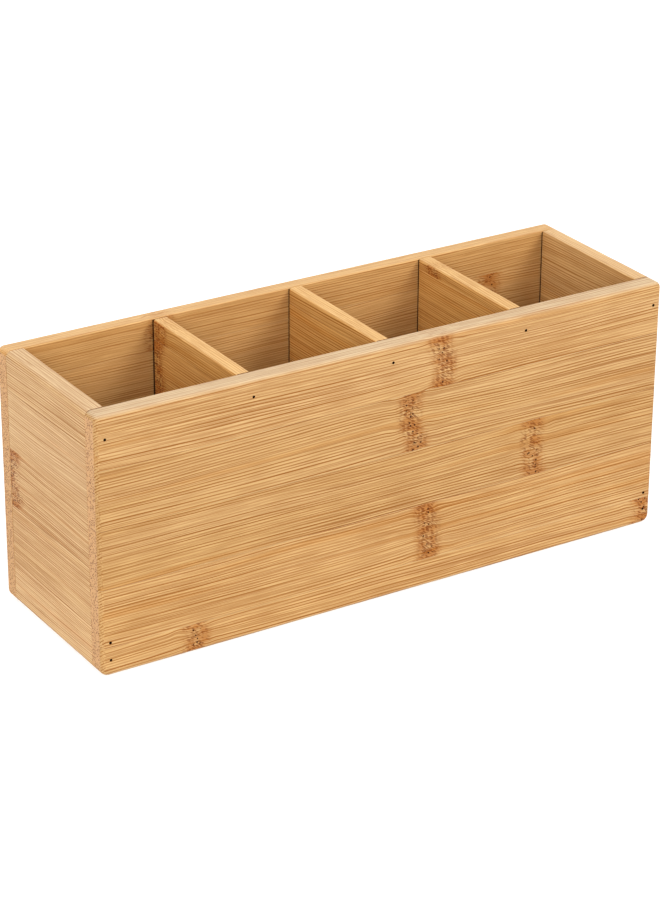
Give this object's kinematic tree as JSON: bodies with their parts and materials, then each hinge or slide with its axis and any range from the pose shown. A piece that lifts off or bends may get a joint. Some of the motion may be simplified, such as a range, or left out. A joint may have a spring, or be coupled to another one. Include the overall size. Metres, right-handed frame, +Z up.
{
  "type": "desk organiser",
  "caption": "Open-topped rectangular pen holder of laminated bamboo boards, with upright dividers across it that make a row of equal square-cornered compartments.",
  "frame": {"origin": "the middle of the flat underside that it stands on", "axes": "+Z up through the open top, +X along the length to the right-hand end, -Y towards the front"},
  "size_m": [0.245, 0.076, 0.102],
  "materials": {
    "bamboo": "clear satin lacquer on laminated bamboo",
    "brad_steel": "dull drawn wire"
  },
  "bodies": {
    "root": {"front_panel": "bamboo", "back_panel": "bamboo", "left_end_panel": "bamboo", "right_end_panel": "bamboo", "bottom_panel": "bamboo", "divider_left": "bamboo", "divider_middle": "bamboo", "divider_right": "bamboo", "brads_front_left_end": "brad_steel", "brads_front_right_end": "brad_steel", "brads_back_left_end": "brad_steel", "brads_back_right_end": "brad_steel", "brads_front_divider_left": "brad_steel", "brads_front_divider_middle": "brad_steel", "brads_front_divider_right": "brad_steel", "brads_back_divider_left": "brad_steel", "brads_back_divider_middle": "brad_steel", "brads_back_divider_right": "brad_steel", "brads_bottom_divider_left": "brad_steel", "brads_bottom_divider_middle": "brad_steel", "brads_bottom_divider_right": "brad_steel"}
  },
  "joints": []
}
